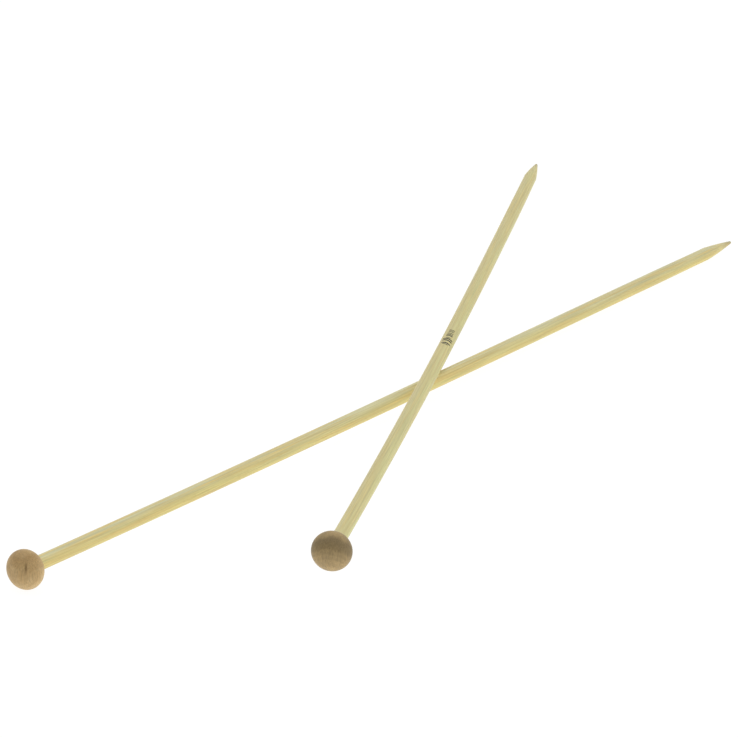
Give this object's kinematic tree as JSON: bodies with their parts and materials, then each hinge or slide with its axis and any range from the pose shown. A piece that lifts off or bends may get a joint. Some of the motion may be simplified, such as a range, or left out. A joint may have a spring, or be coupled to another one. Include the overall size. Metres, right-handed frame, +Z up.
{
  "type": "straight knitting needles",
  "caption": "Crossed straight knitting needles: slim bamboo shafts with a tapered blunt point at one end and a turned wooden ball knob glued on the other.",
  "frame": {"origin": "middle of the pair's footprint, on the plane that the needles lie on", "axes": "+X along the lower needle from its knob to its point, +Z up from the plane that they lie on"},
  "size_m": [0.3646, 0.168, 0.0194],
  "materials": {
    "bamboo": "sanded and waxed, with fine lengthwise fibre streaks",
    "knob_wood": "turned and waxed, fine pores",
    "wood_glue": "set adhesive"
  },
  "bodies": {
    "lower_needle": {"lower_shaft": "bamboo", "lower_knob": "knob_wood", "lower_glue": "wood_glue"},
    "upper_needle": {"upper_shaft": "bamboo", "upper_knob": "knob_wood", "upper_glue": "wood_glue"}
  },
  "joints": [
    {"name": "upper_swivel", "type": "hinge", "parent": "lower_needle", "child": "upper_needle", "pos_m": [0.00553, -0.0102, 0.00855], "axis": [0, 0, 1], "range_deg": [-18, 136]}
  ]
}
